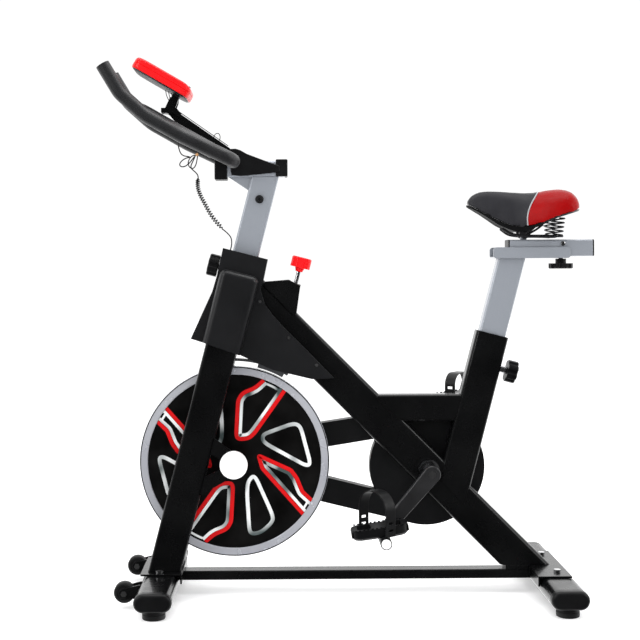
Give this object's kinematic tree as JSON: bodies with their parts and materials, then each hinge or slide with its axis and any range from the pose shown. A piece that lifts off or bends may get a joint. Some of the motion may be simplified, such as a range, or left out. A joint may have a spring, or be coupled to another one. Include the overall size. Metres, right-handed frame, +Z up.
{
  "type": "exercise bike",
  "caption": "Indoor cycling bike with belt-driven flywheel, height-adjustable saddle and handlebar, brake knob, tilting console and levelling feet.",
  "frame": {"origin": "on the floor, midway along and across the whole bike", "axes": "+Z up, -X is the way the rider faces, +Y is the belt side (the rider's right)"},
  "size_m": [1.1137, 0.45, 1.2161],
  "materials": {
    "black_frame": "gloss powder coat",
    "silver_tube": "satin silver paint",
    "steel": "zinc plated",
    "chrome": "polished",
    "disc": "gloss with printed spokes",
    "cover_plastic": "fine moulded grain",
    "black_plastic": "moulded",
    "liner": "moulded",
    "crank_black": "satin black",
    "white_cap": "gloss",
    "strap": "flexible",
    "belt": "ribbed",
    "red_plastic": "gloss",
    "console_grey": "moulded",
    "screen": "display window",
    "foam": "closed-cell foam",
    "rubber": "moulded",
    "saddle_vinyl": "grey and red vinyl",
    "cord": "soft jacket"
  },
  "bodies": {
    "frame": {"stabilizers": "black_frame", "stabilizer_caps": "black_plastic", "base_brackets": "black_frame", "bottom_rail": "black_frame", "fork_legs": "black_frame", "head_tube": "black_frame", "post_bushes": "liner", "diagonal_tube": "black_frame", "seat_tube": "black_frame", "level_tube": "black_frame", "bottom_bracket": "chrome", "hub_caps": "white_cap", "frame_fasteners": "steel", "shroud_left": "cover_plastic", "shroud_right": "cover_plastic", "brake_housing": "black_frame", "belt_guard_inner": "cover_plastic", "belt_guard_outer": "cover_plastic", "drive_belt": "belt"},
    "flywheel": {"flywheel_rim": "chrome", "flywheel_disc": "disc", "flywheel_hub": "chrome"},
    "crankset": {"crank_axles": "steel", "crank_pulley": "black_plastic", "cranks": "crank_black"},
    "pedal_left": {"pedal_left": "black_plastic", "pedal_strap_left": "strap"},
    "pedal_right": {"pedal_right": "black_plastic", "pedal_strap_right": "strap"},
    "handlebar": {"handlebar_post": "silver_tube", "stem_trim": "black_plastic", "stem_cover": "black_plastic", "handlebar_tubes": "steel", "foam_grips": "foam", "console_bracket": "black_frame", "sensor_lead": "cord", "sensor_hank": "cord", "sensor_coil": "cord"},
    "console": {"console_top": "red_plastic", "console_base": "console_grey", "console_screen": "screen"},
    "console_button": {"console_button": "console_grey"},
    "front_pull_knob": {"front_pull_knob": "black_plastic"},
    "seat_pull_knob": {"seat_pull_knob": "black_plastic"},
    "seat_post": {"seat_post": "silver_tube"},
    "saddle_slider": {"saddle_rail": "silver_tube", "saddle_rail_caps": "black_plastic"},
    "saddle_knob": {"saddle_knob": "black_plastic"},
    "saddle": {"saddle_pad": "saddle_vinyl", "saddle_pan": "black_plastic", "saddle_frame": "steel"},
    "brake_rod": {"brake_rod": "steel"},
    "resistance_knob": {"resistance_knob": "red_plastic"},
    "brake_arm": {"brake_arm": "steel"},
    "wheel_left": {"transport_wheel_left": "rubber"},
    "wheel_right": {"transport_wheel_right": "rubber"},
    "foot_front_left": {"foot_front_left": "rubber"},
    "foot_front_right": {"foot_front_right": "rubber"},
    "foot_rear_left": {"foot_rear_left": "rubber"},
    "foot_rear_right": {"foot_rear_right": "rubber"}
  },
  "joints": [
    {"name": "flywheel_spin", "type": "hinge", "parent": "frame", "child": "flywheel", "pos_m": [-0.2595, 0, 0.302], "axis": [0, 1, 0], "continuous": true},
    {"name": "crank_spin", "type": "hinge", "parent": "frame", "child": "crankset", "pos_m": [0.1785, 0, 0.282], "axis": [0, 1, 0], "continuous": true},
    {"name": "pedal_left_spin", "type": "hinge", "parent": "crankset", "child": "pedal_left", "pos_m": [0.06809, -0.142, 0.15273], "axis": [0, 1, 0], "continuous": true},
    {"name": "pedal_right_spin", "type": "hinge", "parent": "crankset", "child": "pedal_right", "pos_m": [0.28891, 0.142, 0.41127], "axis": [0, 1, 0], "continuous": true},
    {"name": "handlebar_height", "type": "slide", "parent": "frame", "child": "handlebar", "axis": [0.2521, 0, 0.9677], "range_m": [-0.06, 0.08], "deforming": ["sensor_lead", "sensor_hank", "sensor_coil"]},
    {"name": "console_tilt", "type": "hinge", "parent": "handlebar", "child": "console", "pos_m": [-0.393, 0, 1.12], "axis": [0, 1, 0], "range_deg": [-15, 15]},
    {"name": "console_press", "type": "slide", "parent": "console", "child": "console_button", "axis": [-0.5045, 0, -0.8634], "range_m": [0, 0.0014], "stiffness_N_per_m": 300, "springref_m": -0.001},
    {"name": "front_pin_pull", "type": "slide", "parent": "frame", "child": "front_pull_knob", "axis": [-0.9677, 0, 0.2521], "range_m": [0, 0.01], "stiffness_N_per_m": 700, "springref_m": -0.004},
    {"name": "seat_pin_pull", "type": "slide", "parent": "frame", "child": "seat_pull_knob", "axis": [0.9673, 0, -0.2538], "range_m": [0, 0.01], "stiffness_N_per_m": 700, "springref_m": -0.004},
    {"name": "seat_height", "type": "slide", "parent": "frame", "child": "seat_post", "axis": [0.2538, 0, 0.9673], "range_m": [-0.09, 0.05]},
    {"name": "saddle_reach", "type": "slide", "parent": "seat_post", "child": "saddle_slider", "axis": [1, 0, 0], "range_m": [-0.03, 0.03]},
    {"name": "saddle_lock", "type": "hinge", "parent": "seat_post", "child": "saddle_knob", "pos_m": [0.486, 0, 0.745], "axis": [0, 0, 1], "continuous": true},
    {"name": "saddle_tilt", "type": "hinge", "parent": "saddle_slider", "child": "saddle", "pos_m": [0.401, 0, 0.815], "axis": [0, 1, 0], "range_deg": [-5, 3.5]},
    {"name": "tension_screw", "type": "slide", "parent": "frame", "child": "brake_rod", "axis": [-0.2521, 0, -0.9677], "range_m": [0, 0.0024]},
    {"name": "resistance_turn", "type": "hinge", "parent": "brake_rod", "child": "resistance_knob", "pos_m": [-0.1185, 0, 0.702], "axis": [-0.2521, 0, -0.9677], "range_deg": [0, 721]},
    {"name": "brake_press", "type": "hinge", "parent": "frame", "child": "brake_arm", "pos_m": [-0.26774, 0, 0.53786], "axis": [0, 1, 0], "range_deg": [0, 1.01], "stiffness_Nm_per_rad": 1.5, "springref_deg": -6.3},
    {"name": "wheel_left_roll", "type": "hinge", "parent": "frame", "child": "wheel_left", "pos_m": [-0.4965, -0.115, 0.036], "axis": [0, 1, 0], "continuous": true},
    {"name": "wheel_right_roll", "type": "hinge", "parent": "frame", "child": "wheel_right", "pos_m": [-0.4965, 0.115, 0.036], "axis": [0, 1, 0], "continuous": true},
    {"name": "foot_front_left_turn", "type": "hinge", "parent": "frame", "child": "foot_front_left", "pos_m": [-0.425, -0.19, 0], "axis": [0, 0, 1], "continuous": true},
    {"name": "foot_front_right_turn", "type": "hinge", "parent": "frame", "child": "foot_front_right", "pos_m": [-0.425, 0.19, 0], "axis": [0, 0, 1], "continuous": true},
    {"name": "foot_rear_left_turn", "type": "hinge", "parent": "frame", "child": "foot_rear_left", "pos_m": [0.45, -0.19, 0], "axis": [0, 0, 1], "continuous": true},
    {"name": "foot_rear_right_turn", "type": "hinge", "parent": "frame", "child": "foot_rear_right", "pos_m": [0.45, 0.19, 0], "axis": [0, 0, 1], "continuous": true}
  ],
  "couplings": [
    {"joint": "crank_spin", "follows": "flywheel_spin", "ratio": 0.2878},
    {"joint": "resistance_turn", "follows": "tension_screw", "rad_per_m": 5236},
    {"joint": "brake_press", "follows": "tension_screw", "rad_per_m": 7.2722}
  ]
}
